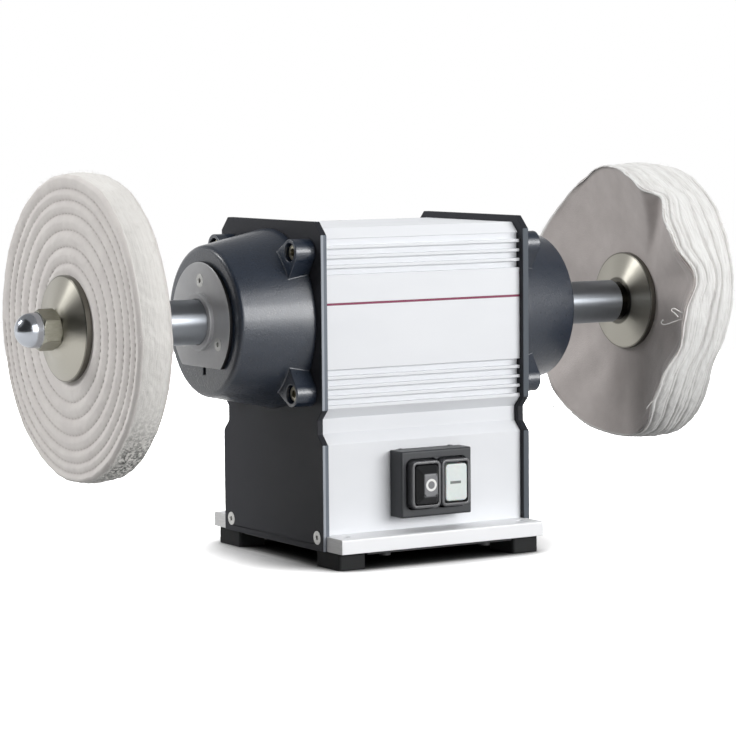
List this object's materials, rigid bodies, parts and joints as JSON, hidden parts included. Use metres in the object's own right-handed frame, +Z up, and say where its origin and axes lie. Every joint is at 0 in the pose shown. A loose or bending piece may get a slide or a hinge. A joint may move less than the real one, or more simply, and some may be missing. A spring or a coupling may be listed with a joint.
{
  "type": "double-ended polishing lathe",
  "caption": "Bench polishing lathe: a motor in a finned extrusion with conical end caps, a long spindle with a cotton polishing wheel at each end, and a push-button switch.",
  "frame": {"origin": "on the bench, under the middle of the machine: centre of the overall box at the underside of the rubber feet", "axes": "+X along the spindle towards the loose wheel, -Y towards the operator (the switch side), +Z up"},
  "size_m": [0.546, 0.2, 0.2635],
  "materials": {
    "anodised_housing": "satin",
    "dark_end_plate": "satin",
    "white_rail": "satin",
    "cap_paint": "satin",
    "zinc_screw": "satin",
    "dark_screw": "satin",
    "black_sheet": "matte",
    "foot_rubber": "matte",
    "retainer_metal": "satin",
    "felt": "matte",
    "bearing_steel": "polished",
    "spring_steel": "satin",
    "laminated_steel": "matte",
    "enamelled_copper": "satin",
    "cast_rotor_cage": "matte",
    "spindle_steel": "satin",
    "flange_steel": "polished",
    "nut_chrome": "polished",
    "cotton": "matte",
    "switch_black": "satin",
    "boot_rubber": "gloss",
    "contact_block": "matte",
    "stop_grey": "satin",
    "start_white": "satin",
    "capacitor_can": "satin",
    "terminal_plastic": "matte",
    "lead_insulation": "satin",
    "gland_plastic": "satin"
  },
  "bodies": {
    "frame": {"base_rail_front": "white_rail", "base_rail_rear": "white_rail", "bearing_outer_ring_left": "bearing_steel", "bearing_outer_ring_right": "bearing_steel", "bearing_retainer_left": "retainer_metal", "bearing_retainer_right": "retainer_metal", "bottom_plate": "black_sheet", "bottom_plate_screws": "dark_screw", "cable_gland": "gland_plastic", "capacitor_clip": "spring_steel", "distance_ring": "spring_steel", "end_cap_left": "cap_paint", "end_cap_right": "cap_paint", "end_cap_screws": "zinc_screw", "end_plate_left": "dark_end_plate", "end_plate_right": "dark_end_plate", "foot_screws": "dark_screw", "gland_locknut": "gland_plastic", "gland_nut": "gland_plastic", "housing_extrusion": "anodised_housing", "internal_leads": "lead_insulation", "plate_screws": "dark_screw", "retainer_screws": "zinc_screw", "rubber_foot_front_left": "foot_rubber", "rubber_foot_front_right": "foot_rubber", "rubber_foot_rear_left": "foot_rubber", "rubber_foot_rear_right": "foot_rubber", "run_capacitor": "capacitor_can", "shaft_seal_left": "felt", "shaft_seal_right": "felt", "start_button_spring": "spring_steel", "stator_core": "laminated_steel", "stator_windings": "enamelled_copper", "stop_button_spring": "spring_steel", "switch_body": "contact_block", "switch_boot": "boot_rubber", "switch_housing": "switch_black", "switch_screws": "dark_screw", "terminal_block": "terminal_plastic", "wave_washer": "spring_steel"},
    "spindle": {"shaft": "spindle_steel", "rotor_core": "laminated_steel", "rotor_end_rings": "cast_rotor_cage", "bearing_inner_ring_left": "bearing_steel", "bearing_inner_ring_right": "bearing_steel", "spacer_sleeve_left": "spindle_steel", "spacer_sleeve_right": "spindle_steel", "inner_flange_left": "flange_steel", "inner_flange_right": "flange_steel", "outer_flange_left": "flange_steel", "outer_flange_right": "flange_steel", "polishing_wheel_left": "cotton", "polishing_wheel_right": "cotton", "cap_nut_left": "nut_chrome", "cap_nut_right": "nut_chrome"},
    "ball_set_left": {"ball_set_left": "bearing_steel"},
    "ball_set_right": {"ball_set_right": "bearing_steel"},
    "start_button": {"start_button": "start_white"},
    "stop_button": {"stop_button": "stop_grey"}
  },
  "joints": [
    {"name": "spindle_spin", "type": "hinge", "parent": "frame", "child": "spindle", "pos_m": [0, 0, 0.1635], "axis": [1, 0, 0], "continuous": true},
    {"name": "ball_set_left_orbit", "type": "hinge", "parent": "frame", "child": "ball_set_left", "pos_m": [0, 0, 0.1635], "axis": [1, 0, 0], "continuous": true},
    {"name": "ball_set_right_orbit", "type": "hinge", "parent": "frame", "child": "ball_set_right", "pos_m": [0, 0, 0.1635], "axis": [1, 0, 0], "continuous": true},
    {"name": "start_button_press", "type": "slide", "parent": "frame", "child": "start_button", "axis": [0, 1, 0], "range_m": [0, 0.003], "stiffness_N_per_m": 400, "springref_m": -0.002, "deforming": ["start_button_spring"]},
    {"name": "stop_button_press", "type": "slide", "parent": "frame", "child": "stop_button", "axis": [0, 1, 0], "range_m": [0, 0.003], "stiffness_N_per_m": 400, "springref_m": -0.002, "deforming": ["stop_button_spring"]}
  ],
  "couplings": [
    {"joint": "ball_set_left_orbit", "follows": "spindle_spin", "ratio": 0.3821},
    {"joint": "ball_set_right_orbit", "follows": "spindle_spin", "ratio": 0.3821}
  ]
}
